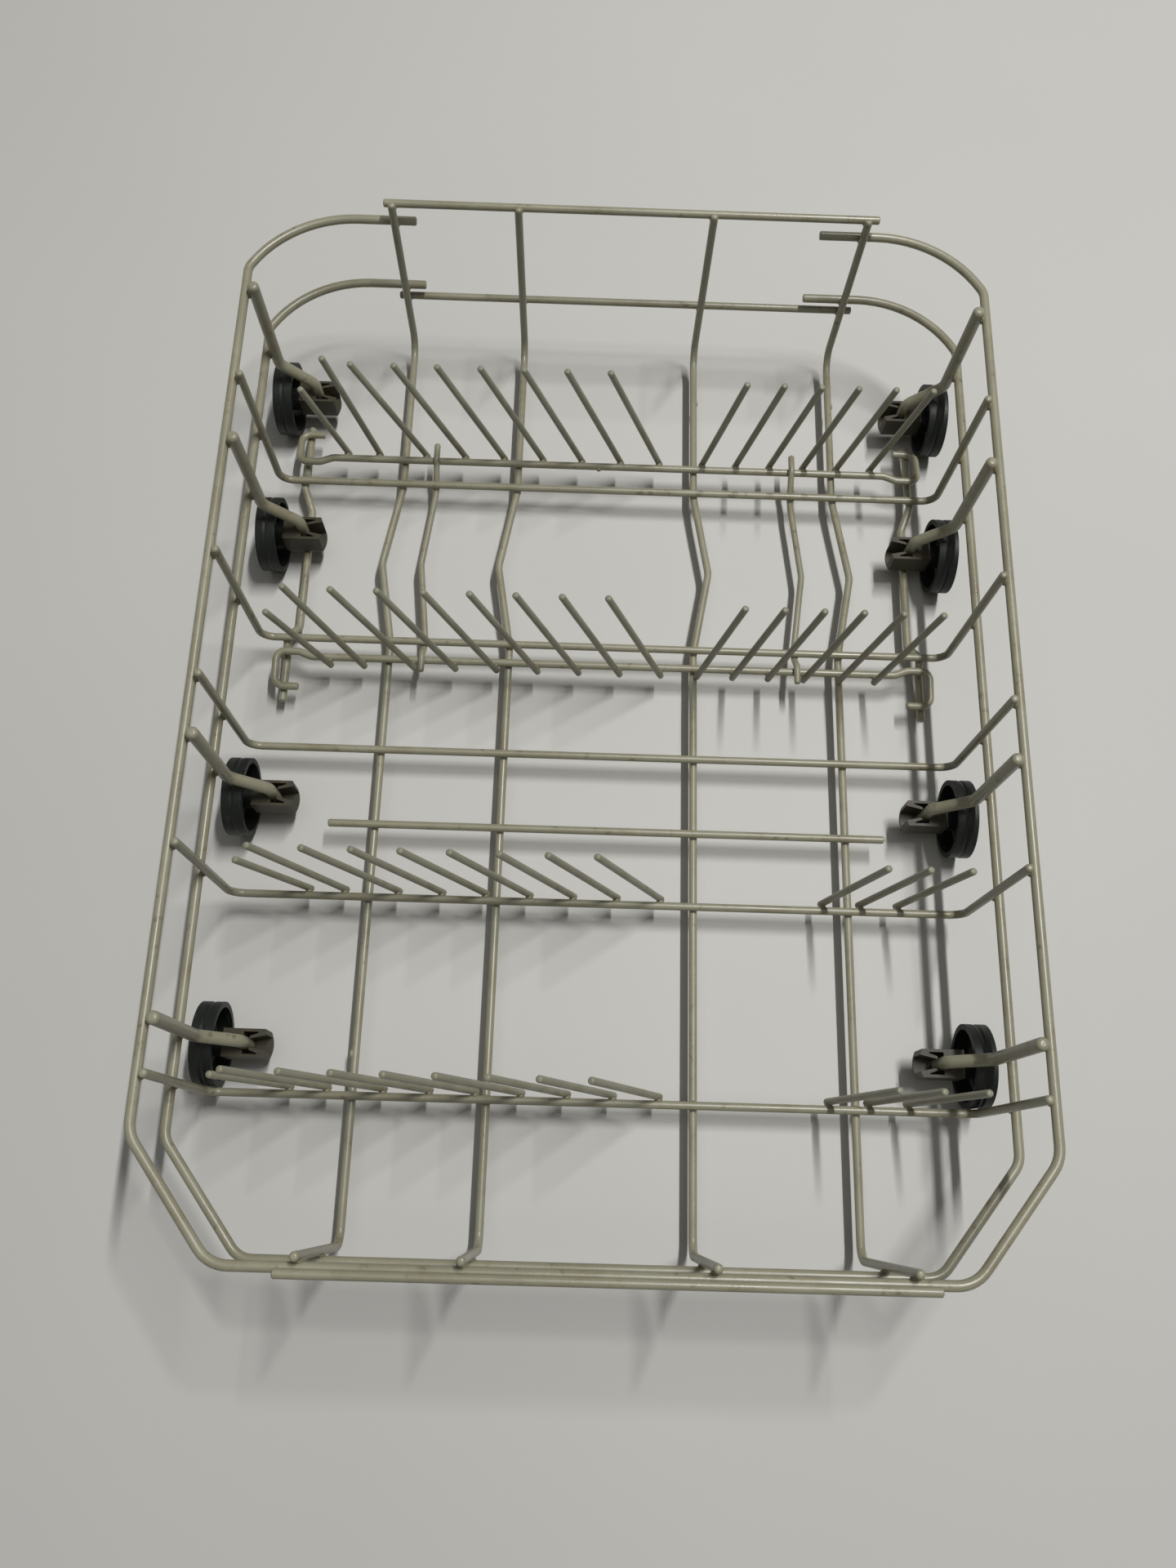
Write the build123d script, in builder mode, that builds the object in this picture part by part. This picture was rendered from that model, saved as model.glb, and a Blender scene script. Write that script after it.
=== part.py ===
"""Lower basket of a slimline dishwasher: a welded frame of coated wire on eight clip-on wheels,
with two fold-down tine rows and two fixed ones. X runs across, +Y to the back, +Z up, millimetres.
The origin is on the ground under the middle of the basket."""

import os
from math import asin, cos, radians, sin, sqrt, tan

from build123d import *

# Wire diameters, coating included
rim_d = 4.5
bar_d = 4.0
long_d = 4.0
cross_d = 4.0
hold_d = 3.4
side_d = 4.2
rod_d = 4.0
tine_d = 3.4
leg_d = 6.0

# Wire ends: standing ends are domed by the coating, the others are cut and eased
dome_share = 0.36
cut_edge = 0.5

# Gaps: welded wires meet at weld_gap, moving ones run at run_gap
weld_gap = 0.05
run_gap = 0.3

# Rims: centre lines, seen from above the same outline for both
rim_half_width = 188.5
rim_depth = 508.0
rim_below_back_tip = 16.0
lower_rim_z = 60.0
rim_end_half = 105.0
chamfer_across = 38.0
chamfer_along = 48.5
upper_rim_bend = 16.0
lower_rim_bend = 12.0
corner_drop = 33.0
corner_turn = 61.0
corner_bend = 10.0

# Bars across the back and rod across the front: how far they pass the outer long wires
bar_past_left = 4.7
bar_past_right = 6.5
back_top_bar_below_tip = 4.0
back_mid_bar_below_rim = 8.5
front_rod_past_left = 8.7
front_rod_past_right = 9.5
front_rod_ahead = 2.2

# Long floor wires
long_left_inset = 72.7
long_right_inset = 61.5
long_inner_left_x = -51.3
long_inner_right_x = 48.4
floor_z = 13.6
long_back_tip_z = 123.5
front_tip_above_rim = 8.5
long_back_bend = 11.0
long_front_bend = 8.0
kink_out = 8.3
kink_bend = 14.0

# Cross wires, measured back from the front of the rim
cross_from_front = (407.2, 310.4, 247.9, 169.1, 71.9)
cross_bend = 7.5
cross_tip_above_rim = 6.5
short_cross_from_front = 207.3
short_cross_past_left = 23.2
short_cross_past_right = 19.0

# Wheel legs, measured back from the front of the rim
leg_from_front = (458.8, 371.0, 219.0, 94.2)
leg_tip_above_rim = 7.0
leg_knee_z = 51.7
leg_step_in = 16.7
leg_bend = 9.0

# Fold rods: one behind the first cross wire, one ahead of the second
back_rod_from_cross = 15.2
front_rod_from_cross = 11.0
rod_straight_inside = 15.0
crank_start_inside = 8.0
crank_outside = 4.2
crank_end_inside = 8.7
crank_jog = 2.8
crank_reach = 16.3
crank_bend = 5.0
jog_bend = 6.0

# Hold-down wires, each beside a tine of the front fold row, and side wires
hold_tine_gap = 0.7
hold_right_step = 3
hold_kink = 5.2
hold_tail = 8.5
side_inset = 12.9
side_step_in = 5.0
side_tail = 7.0
side_bend = 4.0
side_flat = 2.2
side_slope_outer = 4.2
side_slope_back = 14.0
side_slope_front = 7.0

# Tines: a short first one, a second one, then an even pitch on the left and another on the right
tine_first_before = 44.6
tine_second_before = 26.8
tine_left_pitch = 22.0
tine_left_count = 7
tine_right_pitch = 19.1
fold_right_count = 6
fixed_right_count = 3
back_left_inset = 12.9
front_left_inset = 14.5
fixed_left_inset = 15.9
back_right_x = 52.6
front_right_x = 50.0
fixed_right_x = 112.8
fold_left_lean = 20.4
fold_right_lean = 11.5
fixed_left_lean = 23.5
fixed_right_lean = 12.4
back_first_lean = 14.8
back_second_lean = 11.5
front_first_lean = 21.0
front_second_lean = 17.4
fixed_first_lean = 25.0
fixed_second_lean = 21.4
back_tilt = 0.9
front_tilt = 2.0
fold_short = 63.5
fold_left = 89.8
fold_right = 80.0
fixed_short = 60.5
fixed_left = 87.0
fixed_right = 77.0
tine_tip_round = 1.2

# Wheels and clips
wheel_d = 40.0
wheel_width = 10.4
wheel_inset = 4.5
tread_wall = 2.6
web_wall = 2.4
web_recess = 1.0
web_bead_d = 25.0
web_bead = 0.8
groove_width = 2.4
groove_depth = 0.4
hub_d = 12.0
axle_d = 6.0
axle_gap = 0.07
axle_head_d = 8.4
axle_head = 1.0
clip_width = 13.4
clip_top_z = 28.5
clip_bottom_z = 15.0
clip_floor = 2.0
clip_inner_reach = 9.6
clip_end_bulge = 1.6
clip_to_tread = 1.9
socket_gap = 0.05
clip_wall = 1.4
mouth_half = 4.4
throat_half = 2.0
tongue_tip = 2.4
tongue_wall = 1.3
slit_length = 4.0
slit_root = 0.6
pocket_back = 0.6

# Places worked out from the sizes above
upper_rim_z = long_back_tip_z - rim_below_back_tip
long_front_tip_z = upper_rim_z + front_tip_above_rim
back_mid_bar_z = lower_rim_z - back_mid_bar_below_rim
long_left_x = long_left_inset - rim_half_width
long_right_x = rim_half_width - long_right_inset
long_x = (long_left_x, long_inner_left_x, long_inner_right_x, long_right_x)
rod_over_rim = (rim_d + bar_d) / 2 + weld_gap
front_rod_up = sqrt(rod_over_rim**2 - front_rod_ahead**2)
rim_front_y = (front_rod_ahead + bar_d / 2 - rim_d / 2 - rim_depth) / 2
rim_back_y = rim_front_y + rim_depth
front_wall_y = rim_front_y + (rim_d + long_d) / 2 + weld_gap
back_wall_y = rim_back_y - (rim_d + long_d) / 2 - weld_gap
bar_y = back_wall_y + (long_d + bar_d) / 2 + weld_gap
cross_z = floor_z + (long_d + cross_d) / 2 + weld_gap
cross_half = rim_half_width - (rim_d + cross_d) / 2 - weld_gap
cross_y = [rim_front_y + away for away in cross_from_front]
leg_y = [rim_front_y + away for away in leg_from_front]
leg_half = rim_half_width - (rim_d + leg_d) / 2 - weld_gap
foot_half = leg_half - leg_step_in
rod_z = floor_z + (long_d + rod_d) / 2 + run_gap
back_rod_y = cross_y[0] + back_rod_from_cross
front_rod_y = cross_y[1] - front_rod_from_cross
back_left_x = long_left_x + back_left_inset
front_left_x = long_left_x + front_left_inset
fixed_left_x = long_left_x + fixed_left_inset
hold_off_tine = (hold_d + tine_d) / 2 + hold_tine_gap
hold_left_x = front_left_x + hold_off_tine
hold_right_x = front_right_x + hold_right_step * tine_right_pitch - hold_off_tine
side_half = cross_half - side_inset
kink_y = (cross_y[0] + cross_y[1]) / 2
axle_z = wheel_d / 2

os.makedirs("parts", exist_ok=True)


def finish(piece, name):
    """Labels a finished piece and writes it under its name."""
    piece.part.label = name
    export_step(piece.part, f"parts/{name}.step")


def bent_wire(name, points, bends, diameter, domed):
    """One wire, bent at each inner point and swept as a round bar, its ends domed or cut."""
    with BuildPart() as wire:
        with BuildLine() as route:
            FilletPolyline(*points, radius=bends)
        with BuildSketch(Plane(route.line @ 0, z_dir=route.line % 0)):
            Circle(diameter / 2)
        sweep(path=route.line)
        ends = wire.faces().filter_by(GeomType.PLANE).edges()
        if domed:
            fillet(ends, dome_share * diameter)
        else:
            chamfer(ends, cut_edge)
    finish(wire, name)


def straight_wire(name, left, right, y, z, diameter):
    """One straight wire across the basket."""
    with BuildPart() as wire:
        with BuildSketch(Plane.YZ.offset(left)):
            with Locations((y, z)):
                Circle(diameter / 2)
        extrude(amount=right - left)
        chamfer(wire.faces().filter_by(GeomType.PLANE).edges(), cut_edge)
    finish(wire, name)


def rim(name, z, bend):
    """A rim: cut-off front corners, and back corners of a wide arc and a small bend."""
    slant = corner_drop / sin(radians(corner_turn))
    small_turn = radians(90 - corner_turn)
    arc = (slant - corner_bend * tan(small_turn / 2) - weld_gap) / tan(radians(corner_turn) / 2)
    right = [
        (rim_half_width - chamfer_across, rim_front_y, z),
        (rim_half_width, rim_front_y + chamfer_along, z),
        (rim_half_width, rim_back_y - corner_drop, z),
        (rim_half_width - corner_drop / tan(radians(corner_turn)), rim_back_y, z),
        (rim_end_half, rim_back_y, z),
    ]
    left = [(-x, y, height) for x, y, height in reversed(right)]
    side_bends = [bend, bend, corner_bend, arc]
    bent_wire(name, left + right, side_bends[::-1] + side_bends, rim_d, domed=False)


# Rims, bars and front rod
rim("upper_rim", upper_rim_z, upper_rim_bend)
rim("lower_rim", lower_rim_z, lower_rim_bend)
bar_left = long_left_x - bar_past_left
bar_right = long_right_x + bar_past_right
straight_wire("back_top_bar", bar_left, bar_right, bar_y, long_back_tip_z - back_top_bar_below_tip, bar_d)
straight_wire("back_mid_bar", bar_left, bar_right, bar_y, back_mid_bar_z, bar_d)
straight_wire(
    "front_rod",
    long_left_x - front_rod_past_left,
    long_right_x + front_rod_past_right,
    rim_front_y - front_rod_ahead,
    upper_rim_z + front_rod_up,
    bar_d,
)

# Long floor wires, kinked outwards between the first two cross wires
for number, x in enumerate(long_x, start=1):
    outward = kink_out if x > 0 else -kink_out
    bent_wire(
        f"long_wire_{number}",
        [
            (x, back_wall_y, long_back_tip_z),
            (x, back_wall_y, floor_z),
            (x, cross_y[0], floor_z),
            (x + outward, kink_y, floor_z),
            (x, cross_y[1], floor_z),
            (x, front_wall_y, floor_z),
            (x, front_wall_y, long_front_tip_z),
        ],
        [long_back_bend, kink_bend, kink_bend, kink_bend, long_front_bend],
        long_d,
        domed=True,
    )

# Cross wires, turned up inside both rims
for number, y in enumerate(cross_y, start=1):
    tip_z = upper_rim_z + cross_tip_above_rim
    bent_wire(
        f"cross_wire_{number}",
        [
            (-cross_half, y, tip_z),
            (-cross_half, y, cross_z),
            (cross_half, y, cross_z),
            (cross_half, y, tip_z),
        ],
        cross_bend,
        cross_d,
        domed=True,
    )
straight_wire(
    "short_cross_wire",
    long_left_x - short_cross_past_left,
    long_right_x + short_cross_past_right,
    rim_front_y + short_cross_from_front,
    cross_z,
    cross_d,
)


def weave(under_y, over_y):
    """Corners and bends of a hold-down wire that dips under a cross wire and rises over a fold rod."""
    under_r = (cross_d + hold_d) / 2 + weld_gap
    over_r = (rod_d + hold_d) / 2 + run_gap
    way = 1 if over_y > under_y else -1
    away, up = abs(over_y - under_y), rod_z - cross_z
    slope = asin((under_r + over_r) / sqrt(away**2 + up**2)) + asin(up / sqrt(away**2 + up**2))
    under_corner = (under_y + way * under_r * tan(slope / 2), cross_z - under_r)
    over_corner = (over_y - way * over_r * tan(slope / 2), rod_z + over_r)
    return under_corner, over_corner, under_r, over_r


# Hold-down wires
for side, x in (("left", hold_left_x), ("right", hold_right_x)):
    outward = hold_kink if x > 0 else -hold_kink
    back_under, back_over, under_r, over_r = weave(cross_y[0], back_rod_y)
    front_under, front_over, under_r, over_r = weave(cross_y[1], front_rod_y)
    bent_wire(
        f"hold_down_wire_{side}",
        [
            (x, back_rod_y + hold_tail, back_over[1]),
            (x, *back_over),
            (x, *back_under),
            (x, cross_y[0] - cross_d, back_under[1]),
            (x + outward, kink_y, back_under[1]),
            (x, cross_y[1] + cross_d, front_under[1]),
            (x, *front_under),
            (x, *front_over),
            (x, front_rod_y - hold_tail, front_over[1]),
        ],
        [over_r, under_r, kink_bend, kink_bend, kink_bend, under_r, over_r],
        hold_d,
        domed=True,
    )

# Side wires: welded under two cross wires, lower under the cranks and under the second wheel's clip
side_weld_z = cross_z - (cross_d + side_d) / 2 - weld_gap
side_low_z = rod_z - crank_jog - (rod_d + side_d) / 2 - run_gap
for side, way in (("left", -1), ("right", 1)):
    outer, inner = way * side_half, way * (side_half - side_step_in)
    bent_wire(
        f"side_wire_{side}",
        [
            (outer, back_rod_y + crank_reach + side_tail, side_low_z),
            (outer, cross_y[0] + side_flat + side_slope_outer, side_low_z),
            (outer, cross_y[0] + side_flat, side_weld_z),
            (outer, cross_y[0] - side_flat, side_weld_z),
            (inner, cross_y[0] - side_flat - side_slope_back, side_low_z),
            (inner, cross_y[1] + side_flat + side_slope_front, side_low_z),
            (outer, cross_y[1] + side_flat, side_weld_z),
            (outer, cross_y[1] - side_flat, side_weld_z),
            (outer, cross_y[1] - side_flat - side_slope_outer, side_low_z),
            (outer, front_rod_y - crank_reach - side_tail, side_low_z),
        ],
        side_bend,
        side_d,
        domed=False,
    )


def fold_rod(name, y, way):
    """A fold rod: straight under its tines, jogged and cranked at both ends."""
    right = [
        (side_half - rod_straight_inside, y, rod_z),
        (side_half - crank_start_inside, y - way * crank_jog, rod_z),
        (side_half + crank_outside, y - way * crank_jog, rod_z),
        (side_half + crank_outside, y + way * crank_reach, rod_z - crank_jog),
        (side_half - crank_end_inside, y + way * crank_reach, rod_z - crank_jog),
    ]
    left = [(-x, along, z) for x, along, z in reversed(right)]
    bends = [jog_bend, jog_bend, crank_bend, crank_bend]
    bent_wire(name, left + right, bends[::-1] + bends, rod_d, domed=False)


def tine_row(name, y, z, tilt, tines):
    """A row of tines against a wire, each given by its foot, its lean to the right and its length."""
    with BuildPart() as row:
        for x, lean, length in tines:
            with BuildSketch(Plane.XY * Location((x, y, z), (tilt, lean, 0))):
                Circle(tine_d / 2)
            extrude(amount=length)
        tips = row.edges().filter_by(GeomType.CIRCLE).filter_by(lambda edge: edge.center().Z > z + tine_d)
        fillet(tips, tine_tip_round)
    finish(row, name)


def row_of(left_x, right_x, right_count, leans, lengths):
    """Feet, leans and lengths of a row: short first tine, second tine, left group, right group."""
    first_lean, second_lean, left_lean, right_lean = leans
    short, left_length, right_length = lengths
    tines = [(left_x - tine_first_before, -first_lean, short), (left_x - tine_second_before, -second_lean, left_length)]
    tines += [(left_x + step * tine_left_pitch, -left_lean, left_length) for step in range(tine_left_count)]
    tines += [(right_x + step * tine_right_pitch, right_lean, right_length) for step in range(right_count)]
    return tines


def tine_off_rod(tilt):
    """How far behind a rod the foot of a tine stands, so that the tilted tine just clears the rod."""
    return ((rod_d + tine_d) / 2 + weld_gap) / cos(radians(tilt)) + rod_d / 2 * tan(radians(tilt))


# Fold rows: tines on the outer side of each rod, tilted a little over it
fold_foot_z = rod_z - rod_d / 2
fold_lengths = (fold_short, fold_left, fold_right)
back_leans = (back_first_lean, back_second_lean, fold_left_lean, fold_right_lean)
front_leans = (front_first_lean, front_second_lean, fold_left_lean, fold_right_lean)
back_tines = row_of(back_left_x, back_right_x, fold_right_count, back_leans, fold_lengths)
front_tines = row_of(front_left_x, front_right_x, fold_right_count, front_leans, fold_lengths)
fold_rod("fold_rod_back", back_rod_y, 1)
fold_rod("fold_rod_front", front_rod_y, -1)
tine_row("fold_tines_back", back_rod_y + tine_off_rod(back_tilt), fold_foot_z, back_tilt, back_tines)
tine_row("fold_tines_front", front_rod_y - tine_off_rod(front_tilt), fold_foot_z, -front_tilt, front_tines)

# Fixed rows: tines behind the fourth and fifth cross wires
tine_off_cross = (cross_d + tine_d) / 2 + weld_gap
fixed_foot_z = cross_z - cross_d / 2 + run_gap
fixed_lengths = (fixed_short, fixed_left, fixed_right)
fixed_leans = (fixed_first_lean, fixed_second_lean, fixed_left_lean, fixed_right_lean)
fixed_tines = row_of(fixed_left_x, fixed_right_x, fixed_right_count, fixed_leans, fixed_lengths)
tine_row("fixed_tines_middle", cross_y[3] + tine_off_cross, fixed_foot_z, 0, fixed_tines)
tine_row("fixed_tines_front", cross_y[4] + tine_off_cross, fixed_foot_z, 0, fixed_tines)

# Wheel legs: down inside both rims, in over the wheel and down into the clip
socket_floor_z = clip_bottom_z + clip_floor
for side, way in (("left", -1), ("right", 1)):
    for number, y in enumerate(leg_y, start=1):
        bent_wire(
            f"wheel_leg_{side}_{number}",
            [
                (way * leg_half, y, upper_rim_z + leg_tip_above_rim),
                (way * leg_half, y, leg_knee_z),
                (way * foot_half, y, leg_knee_z - leg_step_in),
                (way * foot_half, y, socket_floor_z + socket_gap),
            ],
            leg_bend,
            leg_d,
            domed=True,
        )

# Wheel stations across the basket, outwards from the foot of the leg
tread_inner = rim_half_width - wheel_inset - wheel_width / 2 - foot_half
tread_outer = tread_inner + wheel_width
web_outer = tread_outer - web_recess
clip_back_reach = tread_inner - clip_to_tread
hub_inner = clip_back_reach + run_gap
head_inner = web_outer + run_gap


def wheel_clip(name, x, y, turn):
    """A snap clip: socket and sprung tongues for the leg, stub axle and head for the wheel."""
    upright = Plane((x, y, 0), x_dir=(turn, 0, 0), z_dir=(0, 0, 1))
    along_axle = Plane((x, y, axle_z), x_dir=(0, turn, 0), z_dir=(turn, 0, 0))
    half = clip_width / 2
    pocket_half = half - clip_wall
    snap = [
        (-clip_inner_reach - 2 * clip_end_bulge, mouth_half),
        (-tongue_tip, throat_half),
        (-tongue_tip, throat_half + tongue_wall),
        (-tongue_tip - slit_length, pocket_half - slit_root),
        (-tongue_tip - slit_length, pocket_half),
        (pocket_back, pocket_half),
    ]
    with BuildPart() as clip:
        with BuildSketch(upright.offset(clip_bottom_z)):
            with BuildLine():
                Polyline(
                    (-clip_inner_reach, half),
                    (clip_back_reach, half),
                    (clip_back_reach, -half),
                    (-clip_inner_reach, -half),
                )
                ThreePointArc(
                    (-clip_inner_reach, -half),
                    (-clip_inner_reach - clip_end_bulge, 0),
                    (-clip_inner_reach, half),
                )
            make_face()
        extrude(amount=clip_top_z - clip_bottom_z)
        with BuildSketch(along_axle.offset(clip_back_reach)):
            Circle(axle_d / 2)
        extrude(amount=head_inner - clip_back_reach)
        with BuildSketch(along_axle.offset(head_inner)):
            Circle(axle_head_d / 2)
        extrude(amount=axle_head)
        with BuildSketch(upright.offset(socket_floor_z)):
            Circle(leg_d / 2 + socket_gap)
            with BuildLine():
                Polyline(*snap, *[(along, -across) for along, across in reversed(snap)], close=True)
            make_face()
        extrude(amount=clip_top_z - socket_floor_z, mode=Mode.SUBTRACT)
    finish(clip, name)


def wheel(name, x, y, turn):
    """A wheel: grooved tread, recessed web with a bead, and a hub that runs on the clip's axle."""
    axle_line = Plane((x, y, axle_z), x_dir=(turn, 0, 0), z_dir=(0, 1, 0))
    outer = wheel_d / 2
    groove = (tread_inner + tread_outer) / 2
    bead = web_bead_d / 2
    web_inner = web_outer - web_wall
    with BuildPart() as disc:
        with BuildSketch(axle_line):
            with BuildLine():
                Polyline(
                    (hub_inner, axle_d / 2 + axle_gap),
                    (hub_inner, hub_d / 2),
                    (web_inner, hub_d / 2),
                    (web_inner, bead - web_bead),
                    (web_inner - web_bead, bead),
                    (web_inner, bead + web_bead),
                    (web_inner, outer - tread_wall),
                    (tread_inner, outer - tread_wall),
                    (tread_inner, outer),
                    (groove - groove_width / 2, outer),
                    (groove, outer - groove_depth),
                    (groove + groove_width / 2, outer),
                    (tread_outer, outer),
                    (tread_outer, outer - tread_wall),
                    (web_outer, outer - tread_wall),
                    (web_outer, axle_d / 2 + axle_gap),
                    close=True,
                )
            make_face()
        revolve(axis=Axis((x, y, axle_z), (1, 0, 0)))
    finish(disc, name)


for side, way in (("left", -1), ("right", 1)):
    for number, y in enumerate(leg_y, start=1):
        wheel_clip(f"wheel_clip_{side}_{number}", way * foot_half, y, way)
        wheel(f"wheel_{side}_{number}", way * foot_half, y, way)
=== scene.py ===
import bpy
import numpy as np
from mathutils import Matrix, Vector


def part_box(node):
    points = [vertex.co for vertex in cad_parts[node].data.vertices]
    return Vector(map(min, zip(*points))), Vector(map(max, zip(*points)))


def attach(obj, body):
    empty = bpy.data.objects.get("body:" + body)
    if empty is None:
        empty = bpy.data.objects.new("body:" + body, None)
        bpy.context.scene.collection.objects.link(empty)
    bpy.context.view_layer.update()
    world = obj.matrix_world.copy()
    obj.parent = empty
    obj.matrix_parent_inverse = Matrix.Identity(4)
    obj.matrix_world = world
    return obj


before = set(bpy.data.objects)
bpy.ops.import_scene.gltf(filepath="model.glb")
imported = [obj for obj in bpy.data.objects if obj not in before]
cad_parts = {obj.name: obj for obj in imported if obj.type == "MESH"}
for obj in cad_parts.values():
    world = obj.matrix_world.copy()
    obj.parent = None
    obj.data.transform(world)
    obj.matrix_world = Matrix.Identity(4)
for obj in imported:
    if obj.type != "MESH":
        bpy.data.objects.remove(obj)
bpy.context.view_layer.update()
scene = bpy.context.scene
scene.view_settings.view_transform = "Standard"

# Camera: a hand-held phone held over the front of the basket, looking steeply down.
# Its place and turn were fitted to the wires' crossings, with the picture's middle on the lens axis.
CAMERA_AT = Vector((-0.01216, -0.22280, 0.62775))
CAMERA_RIGHT = Vector((0.99946, 0.02746, 0.01817))
CAMERA_AHEAD = Vector((0.00860, 0.31479, -0.94912))
LENS_MM = 28.403
camera_up = CAMERA_RIGHT.cross(CAMERA_AHEAD).normalized()
lens = bpy.data.cameras.new("phone_lens")
lens.sensor_fit = "VERTICAL"
lens.sensor_height = 36.0
lens.lens = LENS_MM
lens.clip_start = 0.01
camera = bpy.data.objects.new("phone_camera", lens)
camera.matrix_world = Matrix.Translation(CAMERA_AT) @ Matrix(
    (CAMERA_RIGHT, camera_up, -CAMERA_AHEAD)
).transposed().to_4x4()
scene.collection.objects.link(camera)
scene.camera = camera


# Floor: a plain pale lacquered panel under the wheels, a little satin, so that it keeps soft shadows.
# It is only the stage and no part of the basket. Far from the basket it fades to one even pale tone.
def linear(code):
    """An sRGB hex colour as linear RGBA: low channel values are scaled, the rest are a power of 2.4."""
    channels = [int(code[i:i + 2], 16) / 255 for i in (1, 3, 5)]
    return tuple(c / 12.92 if c <= 0.04045 else ((c + 0.055) / 1.055) ** 2.4 for c in channels) + (1.0,)


def add(tree, kind, inputs=None, **settings):
    """Adds a node, sets its settings, and for each input links a socket or sets a plain value."""
    node = tree.nodes.new(kind)
    for name, value in settings.items():
        setattr(node, name, value)
    for name, value in (inputs or {}).items():
        if isinstance(value, bpy.types.NodeSocket):
            tree.links.new(value, node.inputs[name])
        else:
            node.inputs[name].default_value = value
    return node


def fresh_material(name):
    """A new material with an empty node tree."""
    material = bpy.data.materials.new(name)
    material.use_nodes = True
    material.node_tree.nodes.clear()
    return material, material.node_tree


def new_mesh(name, points, faces, material):
    """A smooth object at the origin from an array of points, in metres, and a list of faces."""
    mesh = bpy.data.meshes.new(name)
    mesh.from_pydata(points.tolist(), [], faces)
    mesh.polygons.foreach_set("use_smooth", [True] * len(mesh.polygons))
    mesh.materials.append(material)
    mesh.update()
    piece = bpy.data.objects.new(name, mesh)
    scene.collection.objects.link(piece)
    return piece


FLOOR_HALF = 4.0
CLOUD = 0.33
LIT_RADIUS, EVEN_RADIUS = 0.7, 1.5
BACKDROP = linear("#b4b3ae")
pale_panel, tree = fresh_material("pale_lacquered_panel")
where = add(tree, "ShaderNodeTexCoord")
cloud = add(tree, "ShaderNodeTexNoise", {
    "Vector": where.outputs["Object"], "Scale": 1 / CLOUD, "Detail": 3.0})
tone = add(tree, "ShaderNodeMix", {
    "Factor": cloud.outputs["Fac"], "A": linear("#c6c5c0"), "B": linear("#cecdc8")}, data_type="RGBA")
lacquer = add(tree, "ShaderNodeBsdfPrincipled", {
    "Base Color": tone.outputs["Result"], "Roughness": 0.5, "Specular IOR Level": 0.15})
radius = add(tree, "ShaderNodeVectorMath", {0: where.outputs["Object"]}, operation="LENGTH")
far = add(tree, "ShaderNodeMapRange", {
    "Value": radius.outputs["Value"], "From Min": LIT_RADIUS, "From Max": EVEN_RADIUS},
    interpolation_type="SMOOTHSTEP")
ray = add(tree, "ShaderNodeLightPath")
seen = add(tree, "ShaderNodeMath", {
    0: ray.outputs["Is Camera Ray"], 1: far.outputs["Result"]}, operation="MULTIPLY")
even = add(tree, "ShaderNodeEmission", {"Color": BACKDROP})
panel = add(tree, "ShaderNodeMixShader", {
    0: seen.outputs["Value"], 1: lacquer.outputs["BSDF"], 2: even.outputs["Emission"]})
add(tree, "ShaderNodeOutputMaterial", {"Surface": panel.outputs["Shader"]})
corners = np.array([(-1, -1, 0), (1, -1, 0), (1, 1, 0), (-1, 1, 0)], dtype=float)
new_mesh("floor", corners * FLOOR_HALF, [(0, 1, 2, 3)], pale_panel)

# Light: a long ceiling tube behind and to the right, in line with the long wires, so that their shadows
# are crisp and those of the cross wires soft. A wide panel stands for the other tubes in the room.
# The room itself is pale to the eye and in reflections, and sheds only a little light.
LAMPS = (
    ("ceiling_tube", (0.62, 0.55, 2.50), 0.06, 1.10, 53.0),
    ("other_tubes", (-0.10, -0.10, 2.40), 2.00, 2.00, 9.0),
)
ROOM_LIGHT = 0.04
for name, place, width, length, power in LAMPS:
    lamp = bpy.data.lights.new(name, "AREA")
    lamp.shape = "RECTANGLE"
    lamp.size = width
    lamp.size_y = length
    lamp.energy = power
    lamp_object = bpy.data.objects.new(name, lamp)
    lamp_object.location = place
    scene.collection.objects.link(lamp_object)
world = bpy.data.worlds.new("even_room")
world.use_nodes = True
tree = world.node_tree
tree.nodes.clear()
ray = add(tree, "ShaderNodeLightPath")
straight = add(tree, "ShaderNodeMath", {
    0: ray.outputs["Is Camera Ray"], 1: ray.outputs["Is Transmission Ray"]}, operation="MAXIMUM")
seen = add(tree, "ShaderNodeMath", {
    0: straight.outputs["Value"], 1: ray.outputs["Is Glossy Ray"]}, operation="MAXIMUM")
dim = add(tree, "ShaderNodeBackground", {"Color": linear("#f2f2ee"), "Strength": ROOM_LIGHT})
pale = add(tree, "ShaderNodeBackground", {"Color": BACKDROP})
room = add(tree, "ShaderNodeMixShader", {
    0: seen.outputs["Value"], 1: dim.outputs["Background"], 2: pale.outputs["Background"]})
add(tree, "ShaderNodeOutputWorld", {"Surface": room.outputs["Shader"]})
scene.world = world

# Frame wires: steel wire, spot-welded, then dipped hot in nylon powder that melts to a satin skin.
# The skin is a warm light grey that has yellowed in patches, with thin brown stains and fine orange peel.
# The sizes of its patterns are in millimetres, and so are those of the finishes below.
PER_METRE = (1000, 1000, 1000)
YELLOWED, BLOT, FLECK, PEEL = 45.0, 20.0, 5.0, 2.2


def dress(material, chosen):
    """Gives this one material to the CAD nodes whose names pass the test."""
    for name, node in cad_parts.items():
        if chosen(name):
            node.data.materials.clear()
            node.data.materials.append(material)


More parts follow.
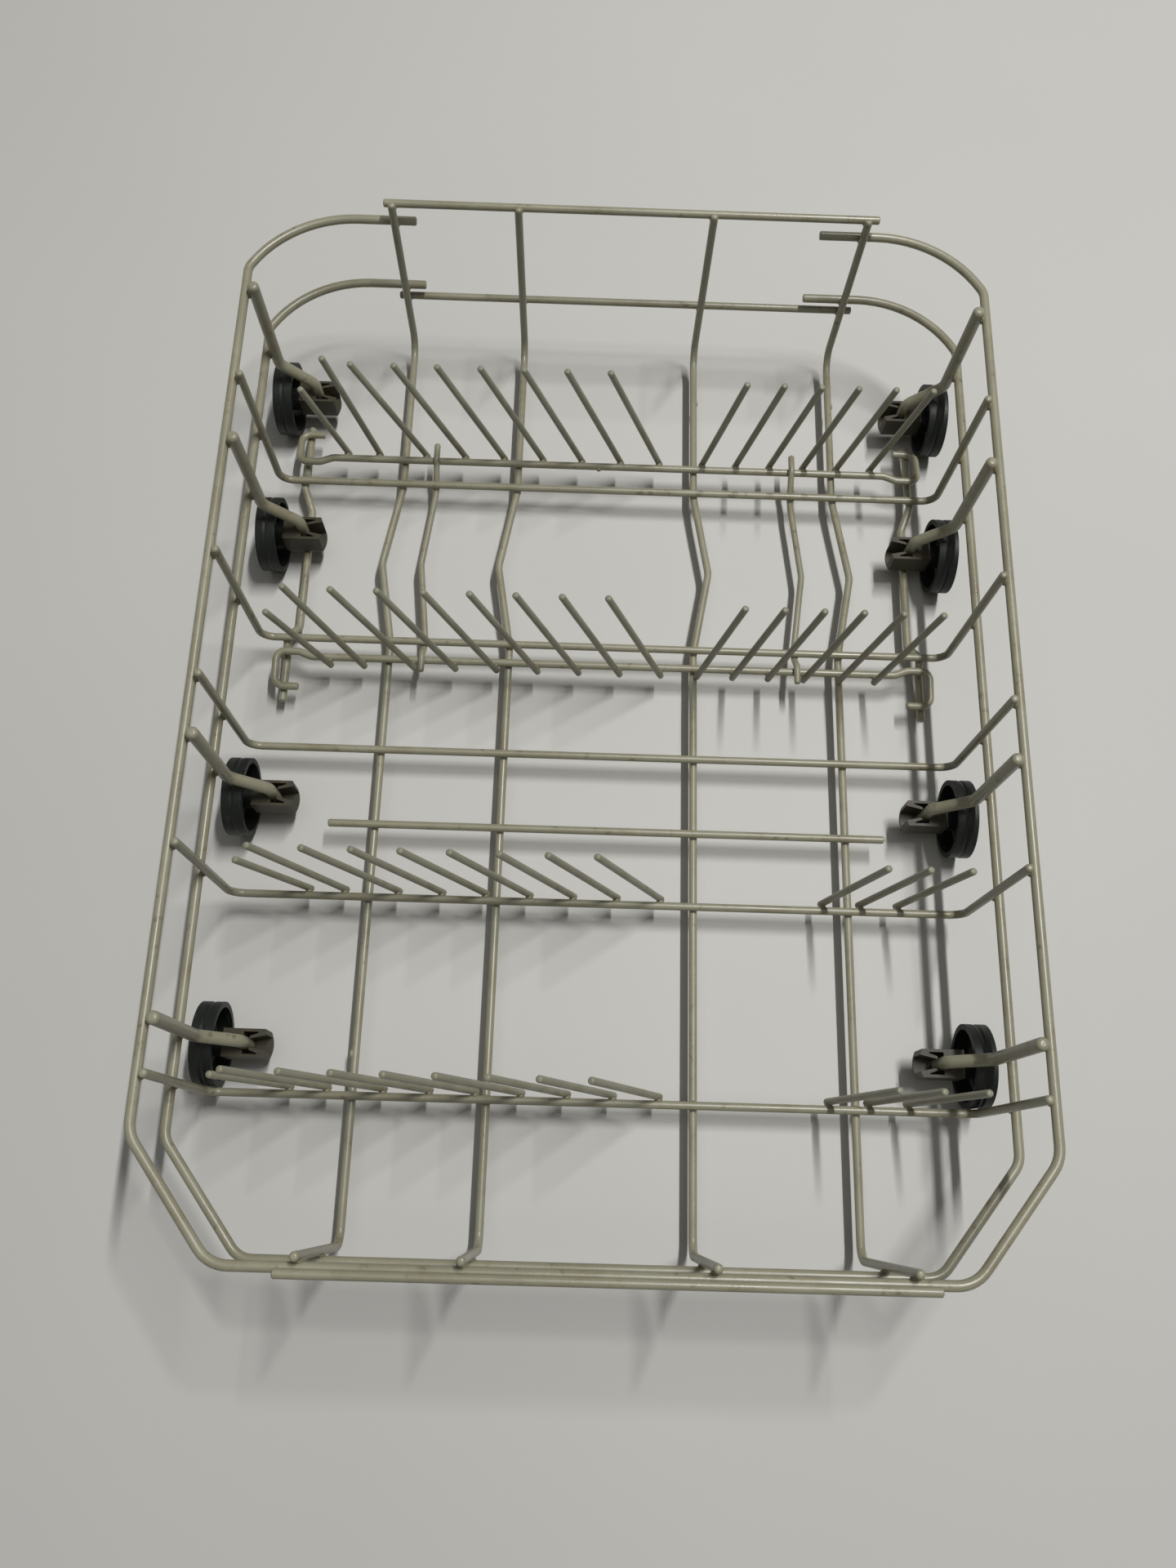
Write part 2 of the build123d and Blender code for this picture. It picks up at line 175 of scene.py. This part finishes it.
coated_wire, tree = fresh_material("nylon_powder_coat")
where = add(tree, "ShaderNodeTexCoord")
millimetres = add(tree, "ShaderNodeMapping", {"Vector": where.outputs["Object"], "Scale": PER_METRE})
broad = add(tree, "ShaderNodeTexNoise", {
    "Vector": millimetres.outputs["Vector"], "Scale": 1 / YELLOWED, "Detail": 3.0, "Roughness": 0.55})
grey = add(tree, "ShaderNodeMix", {
    "Factor": broad.outputs["Fac"], "A": linear("#7f7c66"), "B": linear("#9f9c86")}, data_type="RGBA")
blot = add(tree, "ShaderNodeTexNoise", {
    "Vector": millimetres.outputs["Vector"], "Scale": 1 / BLOT, "Detail": 4.0, "Roughness": 0.65})
stain = add(tree, "ShaderNodeMapRange", {
    "Value": blot.outputs["Fac"], "From Min": 0.48, "From Max": 0.74, "To Min": 0.0, "To Max": 0.55})
skin = add(tree, "ShaderNodeMix", {
    "Factor": stain.outputs["Result"], "A": grey.outputs["Result"], "B": linear("#776a4e")}, data_type="RGBA")
fleck = add(tree, "ShaderNodeTexNoise", {
    "Vector": millimetres.outputs["Vector"], "Scale": 1 / FLECK, "Detail": 2.0})
pit = add(tree, "ShaderNodeMapRange", {
    "Value": fleck.outputs["Fac"], "From Min": 0.64, "From Max": 0.74, "To Min": 0.0, "To Max": 0.45})
marked = add(tree, "ShaderNodeMix", {
    "Factor": pit.outputs["Result"], "A": skin.outputs["Result"], "B": linear("#4a4231")}, data_type="RGBA")
peel = add(tree, "ShaderNodeTexNoise", {
    "Vector": millimetres.outputs["Vector"], "Scale": 1 / PEEL, "Detail": 2.0})
gloss = add(tree, "ShaderNodeMapRange", {
    "Value": broad.outputs["Fac"], "From Min": 0.3, "From Max": 0.7, "To Min": 0.26, "To Max": 0.42})
relief = add(tree, "ShaderNodeBump", {"Height": peel.outputs["Fac"], "Strength": 0.35, "Distance": 0.0002})
coat = add(tree, "ShaderNodeBsdfPrincipled", {
    "Base Color": marked.outputs["Result"], "Roughness": gloss.outputs["Result"], "IOR": 1.53,
    "Normal": relief.outputs["Normal"]})
add(tree, "ShaderNodeOutputMaterial", {"Surface": coat.outputs["BSDF"]})
RUNNING_GEAR = ("wheel_clip", "wheel_left", "wheel_right")
dress(coated_wire, lambda name: "tines" not in name and not name.startswith(RUNNING_GEAR))

# Tines: thinner coated wire, with painted shade at the foot where the tine meets its rod: a darker brown that
# fades out with height, broken up by a noise that runs along the tine, so the coat is plain towards the tip.
TINE_FOOT, TINE_UNSHADED = 0.018, 0.075
TINE_PATCH, STREAK_WIDE, STREAK_LONG = 30.0, 4.0, 17.0
coated_tine, tree = fresh_material("nylon_coat_painted_shade_at_foot")
where = add(tree, "ShaderNodeTexCoord")
millimetres = add(tree, "ShaderNodeMapping", {"Vector": where.outputs["Object"], "Scale": PER_METRE})
broad = add(tree, "ShaderNodeTexNoise", {
    "Vector": millimetres.outputs["Vector"], "Scale": 1 / TINE_PATCH, "Detail": 3.0, "Roughness": 0.6})
grey = add(tree, "ShaderNodeMix", {
    "Factor": broad.outputs["Fac"], "A": linear("#7d7b67"), "B": linear("#9a9884")}, data_type="RGBA")
height = add(tree, "ShaderNodeSeparateXYZ", {"Vector": where.outputs["Object"]})
# Painted shade: strong at the foot of the tine, fading out higher up.
low = add(tree, "ShaderNodeMapRange", {
    "Value": height.outputs["Z"], "From Min": TINE_FOOT, "From Max": TINE_UNSHADED,
    "To Min": 0.75, "To Max": 0.05})
streak_map = add(tree, "ShaderNodeMapping", {
    "Vector": millimetres.outputs["Vector"], "Scale": (1 / STREAK_WIDE, 1 / STREAK_WIDE, 1 / STREAK_LONG)})
streak = add(tree, "ShaderNodeTexNoise", {
    "Vector": streak_map.outputs["Vector"], "Scale": 1.0, "Detail": 4.0})
patch = add(tree, "ShaderNodeMapRange", {
    "Value": streak.outputs["Fac"], "From Min": 0.40, "From Max": 0.72, "To Min": 0.0, "To Max": 1.0})
amount = add(tree, "ShaderNodeMath", {
    0: low.outputs["Result"], 1: patch.outputs["Result"]}, operation="MULTIPLY")
# The painted shade is a darker brown laid over the coat's grey.
skin = add(tree, "ShaderNodeMix", {
    "Factor": amount.outputs["Value"], "A": grey.outputs["Result"], "B": linear("#6e6046")}, data_type="RGBA")
peel = add(tree, "ShaderNodeTexNoise", {
    "Vector": millimetres.outputs["Vector"], "Scale": 1 / PEEL, "Detail": 2.0})
relief = add(tree, "ShaderNodeBump", {"Height": peel.outputs["Fac"], "Strength": 0.35, "Distance": 0.0002})
gloss = add(tree, "ShaderNodeMapRange", {
    "Value": streak.outputs["Fac"], "From Min": 0.3, "From Max": 0.7, "To Min": 0.32, "To Max": 0.48})
coat = add(tree, "ShaderNodeBsdfPrincipled", {
    "Base Color": skin.outputs["Result"], "Roughness": gloss.outputs["Result"], "IOR": 1.53,
    "Normal": relief.outputs["Normal"]})
add(tree, "ShaderNodeOutputMaterial", {"Surface": coat.outputs["BSDF"]})
dress(coated_tine, lambda name: "tines" in name)

# Welds: where two wires cross, the melted coating runs into the corners and leaves a small smooth web.
# Each web is a lens in the plane of contact, in noise patches of a light grey and a darker brown.
LONG_R, RIM_R, CROSS_R, HOLD_R, SIDE_R, TINE_R = 0.0020, 0.00225, 0.0020, 0.0017, 0.0021, 0.0017
WEB_REACH, WEB_THICK = 0.0025, 0.0014
WEB_PATCH = 12.0
weld_coat, tree = fresh_material("nylon_coat_patchy_brown")
where = add(tree, "ShaderNodeTexCoord")
millimetres = add(tree, "ShaderNodeMapping", {"Vector": where.outputs["Object"], "Scale": PER_METRE})
broad = add(tree, "ShaderNodeTexNoise", {
    "Vector": millimetres.outputs["Vector"], "Scale": 1 / WEB_PATCH, "Detail": 3.0})
skin = add(tree, "ShaderNodeMix", {
    "Factor": broad.outputs["Fac"], "A": linear("#8a8973"), "B": linear("#6a5e45")}, data_type="RGBA")
relief = add(tree, "ShaderNodeBump", {"Height": broad.outputs["Fac"], "Strength": 0.3, "Distance": 0.0003})
coat = add(tree, "ShaderNodeBsdfPrincipled", {
    "Base Color": skin.outputs["Result"], "Roughness": 0.4, "IOR": 1.52, "Normal": relief.outputs["Normal"]})
add(tree, "ShaderNodeOutputMaterial", {"Surface": coat.outputs["BSDF"]})


def lenses(name, places, reach, thick, material, body):
    """One piece of closed lenses, one at each (centre, normal), in metres: on a grid of turn and rise, a ring
    of radius reach*cos(rise)^edge about the normal, lifted by thick*sin(rise), with a point at each pole."""
    turns, rises, edge = 16, 7, 0.8
    turn = np.linspace(0, 2 * np.pi, turns, endpoint=False)
    rise = np.linspace(-np.pi / 2, np.pi / 2, rises)[1:-1]
    radius = reach * np.cos(rise) ** edge
    ring = np.stack([
        np.outer(radius, np.cos(turn)), np.outer(radius, np.sin(turn)),
        np.outer(thick * np.sin(rise), np.ones(turns))], -1).reshape(-1, 3)
    local = np.vstack([ring, [(0, 0, -thick), (0, 0, thick)]])
    centres = np.array([centre for centre, normal in places])
    normals = np.array([normal for centre, normal in places], dtype=float)
    helper = np.where(np.abs(normals[:, 2:]) > 0.9, [[1.0, 0, 0]], [[0, 0, 1.0]])
    first = np.cross(helper, normals)
    axes = np.stack([first, np.cross(normals, first), normals], 1)
    points = (centres[:, None] + np.einsum("pk,nkc->npc", local, axes)).reshape(-1, 3)
    row = np.arange(rises - 3)[:, None] * turns
    here, there = np.arange(turns), (np.arange(turns) + 1) % turns
    quads = np.stack([row + here, row + there, row + turns + there, row + turns + here], -1).reshape(-1, 4)
    top = (rises - 3) * turns
    caps = np.concatenate([
        np.stack([there, here, np.full(turns, len(ring))], -1),
        np.stack([top + here, top + there, np.full(turns, len(ring) + 1)], -1)])
    offset = np.arange(len(centres))[:, None, None] * len(local)
    faces = (quads + offset).reshape(-1, 4).tolist() + (caps + offset).reshape(-1, 3).tolist()
    piece = new_mesh(name, points, faces, material)
    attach(piece, body)


def span(node):
    """A CAD node's box as two arrays, lowest and highest corner."""
    low_corner, high_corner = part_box(node)
    return np.array(low_corner), np.array(high_corner)


def middle_y(node):
    """The middle of a CAD node's box along Y."""
    low_corner, high_corner = span(node)
    return (low_corner[1] + high_corner[1]) / 2


def straight_x(node, radius):
    """The straight line of a wire that is kinked outwards: its inner side, less half its thickness."""
    low_corner, high_corner = span(node)
    return high_corner[0] - radius if high_corner[0] < 0 else low_corner[0] + radius


long_xs = [straight_x(f"long_wire_{number}", LONG_R) for number in (1, 2, 3, 4)]
cross_nodes = [f"cross_wire_{number}" for number in (1, 2, 3, 4, 5)]
floor_welds, wall_welds = [], []
for node in cross_nodes + ["short_cross_wire"]:
    floor_welds += [((x, middle_y(node), span(node)[0][2]), (0, 0, 1)) for x in long_xs]
for node in cross_nodes[:2]:
    for side in ("left", "right"):
        hold_x = straight_x(f"hold_down_wire_{side}", HOLD_R)
        side_low, side_high = span(f"side_wire_{side}")
        side_x = side_low[0] + SIDE_R if side == "left" else side_high[0] - SIDE_R
        floor_welds += [((x, middle_y(node), span(node)[0][2]), (0, 0, 1)) for x in (hold_x, side_x)]
for rim in ("upper_rim", "lower_rim"):
    rim_low, rim_high = span(rim)
    rim_z = (rim_low[2] + rim_high[2]) / 2
    inner_x = rim_high[0] - 2 * RIM_R
    for node in cross_nodes + [f"wheel_leg_right_{number}" for number in (1, 2, 3, 4)]:
        wall_welds += [((x, middle_y(node), rim_z), (1, 0, 0)) for x in (inner_x, -inner_x)]
    wall_welds += [((x, rim_low[1] + 2 * RIM_R, rim_z), (0, 1, 0)) for x in long_xs]
    wall_welds += [((x, rim_high[1] - 2 * RIM_R, rim_z), (0, 1, 0)) for x in (long_xs[0], long_xs[3])]
for node in ("back_top_bar", "back_mid_bar"):
    low_corner, high_corner = span(node)
    wall_welds += [((x, low_corner[1], (low_corner[2] + high_corner[2]) / 2), (0, 1, 0)) for x in long_xs]
lenses("floor_weld_webs", floor_welds, WEB_REACH, WEB_THICK, weld_coat, "frame")
lenses("wall_weld_webs", wall_welds, WEB_REACH, WEB_THICK, weld_coat, "frame")

# Tine welds: each tine's foot is butted against the side of its rod and welded there.
# The web is thicker than at a crossing and shows as a flare at the foot.
FOOT_SLICE, NEXT_TINE = 0.0016, 0.006
FOOT_WEB_REACH, FOOT_WEB_THICK = 0.0020, 0.0016
LEFT_LEAN, RIGHT_LEAN, RIGHT_GROUP_X = np.radians(-21.0), np.radians(12.0), 0.04
for row, carrier, towards, body in (
    ("fold_tines_back", "fold_rod_back", -1, "fold_row_back"),
    ("fold_tines_front", "fold_rod_front", 1, "fold_row_front"),
    ("fixed_tines_middle", "cross_wire_4", -1, "frame"),
    ("fixed_tines_front", "cross_wire_5", -1, "frame"),
):
    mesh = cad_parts[row].data
    points = np.empty(len(mesh.vertices) * 3)
    mesh.vertices.foreach_get("co", points)
    points = points.reshape(-1, 3)
    foot = points[points[:, 2] < points[:, 2].min() + FOOT_SLICE]
    foot = foot[np.argsort(foot[:, 0])]
    feet = np.split(foot, np.flatnonzero(np.diff(foot[:, 0]) > NEXT_TINE) + 1)
    carrier_low, carrier_high = span(carrier)
    axis_z = (carrier_high[2] if "rod" in carrier else carrier_low[2] + 2 * CROSS_R) - CROSS_R
    middles = np.array([one.mean(0) for one in feet])
    lean = np.where(middles[:, 0] > RIGHT_GROUP_X, RIGHT_LEAN, LEFT_LEAN)
    web_x = middles[:, 0] + np.tan(lean) * (axis_z - middles[:, 2])
    places = [((x, y + towards * TINE_R, axis_z), (0, 1, 0)) for x, y in zip(web_x, middles[:, 1])]
    lenses(f"{row}_weld_webs", places, FOOT_WEB_REACH, FOOT_WEB_THICK, weld_coat, body)

# Coat lumps: drops of the melted powder that set on four of the wires, one of them on the back fold rod.
# Each is a small smooth swelling of the same skin on one side of its wire.
LUMP_Y = (-0.1611, 0.2165, 0.2174)
LUMP_LEFT, LUMP_RIGHT = 0.8 * LONG_R, 0.6 * LONG_R
LUMP_REACH, ROD_LUMP_REACH, LUMP_THICK = 0.0024, 0.0015, 0.0013
ROD_LUMP_X, ROD_LUMP_PROUD, ROD_JOG = -0.0057, 0.2 * CROSS_R, 0.0028
wire_z = span("long_wire_1")[0][2] + LONG_R
long_lumps = [
    ((long_xs[0] - LUMP_LEFT, LUMP_Y[0], wire_z), (1, 0, 0)),
    ((long_xs[2] + LUMP_RIGHT, LUMP_Y[1], wire_z), (1, 0, 0)),
    ((long_xs[3] + LUMP_RIGHT, LUMP_Y[2], wire_z), (1, 0, 0)),
]
lenses("long_wire_lumps", long_lumps, LUMP_REACH, LUMP_THICK, coated_wire, "frame")
rod_low, rod_high = span("fold_rod_back")
rod_lump = [((ROD_LUMP_X, rod_low[1] + ROD_JOG + ROD_LUMP_PROUD, rod_high[2] - CROSS_R), (0, 1, 0))]
lenses("fold_rod_lump", rod_lump, ROD_LUMP_REACH, LUMP_THICK, coated_wire, "fold_row_back")

# Wheel clips: moulded polypropylene blocks, each pressed on the foot of a wheel leg.
# Two sprung tongues hold it there, and its stub axle carries the wheel.
# Once grey, it is now brownish with limescale and tea stains: to the eye a dull, patchy brown-grey.

# The grain of the mould is finer than this, here and on the wheels, and is drawn coarse enough to show.
CLIP_PATCH, CLIP_STAIN, CLIP_GRAIN = 9.0, 5.0, 0.8
clip_plastic, tree = fresh_material("moulded_polypropylene_brown_grey")
where = add(tree, "ShaderNodeTexCoord")
millimetres = add(tree, "ShaderNodeMapping", {"Vector": where.outputs["Object"], "Scale": PER_METRE})
broad = add(tree, "ShaderNodeTexNoise", {
    "Vector": millimetres.outputs["Vector"], "Scale": 1 / CLIP_PATCH, "Detail": 4.0, "Roughness": 0.6})
skin = add(tree, "ShaderNodeMix", {
    "Factor": broad.outputs["Fac"], "A": linear("#211f15"), "B": linear("#443f2c")}, data_type="RGBA")
tea = add(tree, "ShaderNodeTexNoise", {
    "Vector": millimetres.outputs["Vector"], "Scale": 1 / CLIP_STAIN, "Detail": 3.0})
tea_amount = add(tree, "ShaderNodeMapRange", {
    "Value": tea.outputs["Fac"], "From Min": 0.58, "From Max": 0.74, "To Min": 0.0, "To Max": 0.7})
stained = add(tree, "ShaderNodeMix", {
    "Factor": tea_amount.outputs["Result"], "A": skin.outputs["Result"], "B": linear("#4e3c20")},
    data_type="RGBA")
grain = add(tree, "ShaderNodeTexNoise", {
    "Vector": millimetres.outputs["Vector"], "Scale": 1 / CLIP_GRAIN, "Detail": 2.0})
relief = add(tree, "ShaderNodeBump", {"Height": grain.outputs["Fac"], "Strength": 0.3, "Distance": 0.0002})
moulded = add(tree, "ShaderNodeBsdfPrincipled", {
    "Base Color": stained.outputs["Result"], "Roughness": 0.5, "IOR": 1.49, "Specular IOR Level": 0.35,
    "Normal": relief.outputs["Normal"]})
add(tree, "ShaderNodeOutputMaterial", {"Surface": moulded.outputs["BSDF"]})
dress(clip_plastic, lambda name: name.startswith("wheel_clip"))

# Wheels: moulded polypropylene in charcoal, hollow towards the basket, on the stub axles of the clips.
# To the eye they are matt and nearly black, dulled by limescale, with a few pale scuffs round the tread.
WHEEL_PATCH, WHEEL_GRAIN, SCUFF_WIDE, SCUFF_LONG = 14.0, 0.9, 1.2, 6.0
wheel_plastic, tree = fresh_material("moulded_polypropylene_charcoal")
where = add(tree, "ShaderNodeTexCoord")
millimetres = add(tree, "ShaderNodeMapping", {"Vector": where.outputs["Object"], "Scale": PER_METRE})
broad = add(tree, "ShaderNodeTexNoise", {
    "Vector": millimetres.outputs["Vector"], "Scale": 1 / WHEEL_PATCH, "Detail": 4.0, "Roughness": 0.6})
skin = add(tree, "ShaderNodeMix", {
    "Factor": broad.outputs["Fac"], "A": linear("#080b09"), "B": linear("#141a15")}, data_type="RGBA")
scuff_map = add(tree, "ShaderNodeMapping", {
    "Vector": millimetres.outputs["Vector"], "Scale": (1 / SCUFF_WIDE, 1 / SCUFF_LONG, 1 / SCUFF_LONG)})
scuff = add(tree, "ShaderNodeTexNoise", {"Vector": scuff_map.outputs["Vector"], "Scale": 1.0, "Detail": 3.0})
scuff_amount = add(tree, "ShaderNodeMapRange", {
    "Value": scuff.outputs["Fac"], "From Min": 0.60, "From Max": 0.80, "To Min": 0.0, "To Max": 0.25})
dulled = add(tree, "ShaderNodeMix", {
    "Factor": scuff_amount.outputs["Result"], "A": skin.outputs["Result"], "B": linear("#5f605a")},
    data_type="RGBA")
gloss = add(tree, "ShaderNodeMapRange", {
    "Value": broad.outputs["Fac"], "From Min": 0.3, "From Max": 0.7, "To Min": 0.40, "To Max": 0.58})
grain = add(tree, "ShaderNodeTexNoise", {
    "Vector": millimetres.outputs["Vector"], "Scale": 1 / WHEEL_GRAIN, "Detail": 2.0})
relief = add(tree, "ShaderNodeBump", {"Height": grain.outputs["Fac"], "Strength": 0.25, "Distance": 0.0002})
moulded = add(tree, "ShaderNodeBsdfPrincipled", {
    "Base Color": dulled.outputs["Result"], "Roughness": gloss.outputs["Result"], "IOR": 1.49,
    "Specular IOR Level": 0.3, "Normal": relief.outputs["Normal"]})
add(tree, "ShaderNodeOutputMaterial", {"Surface": moulded.outputs["BSDF"]})
dress(wheel_plastic, lambda name: name.startswith(("wheel_left", "wheel_right")))
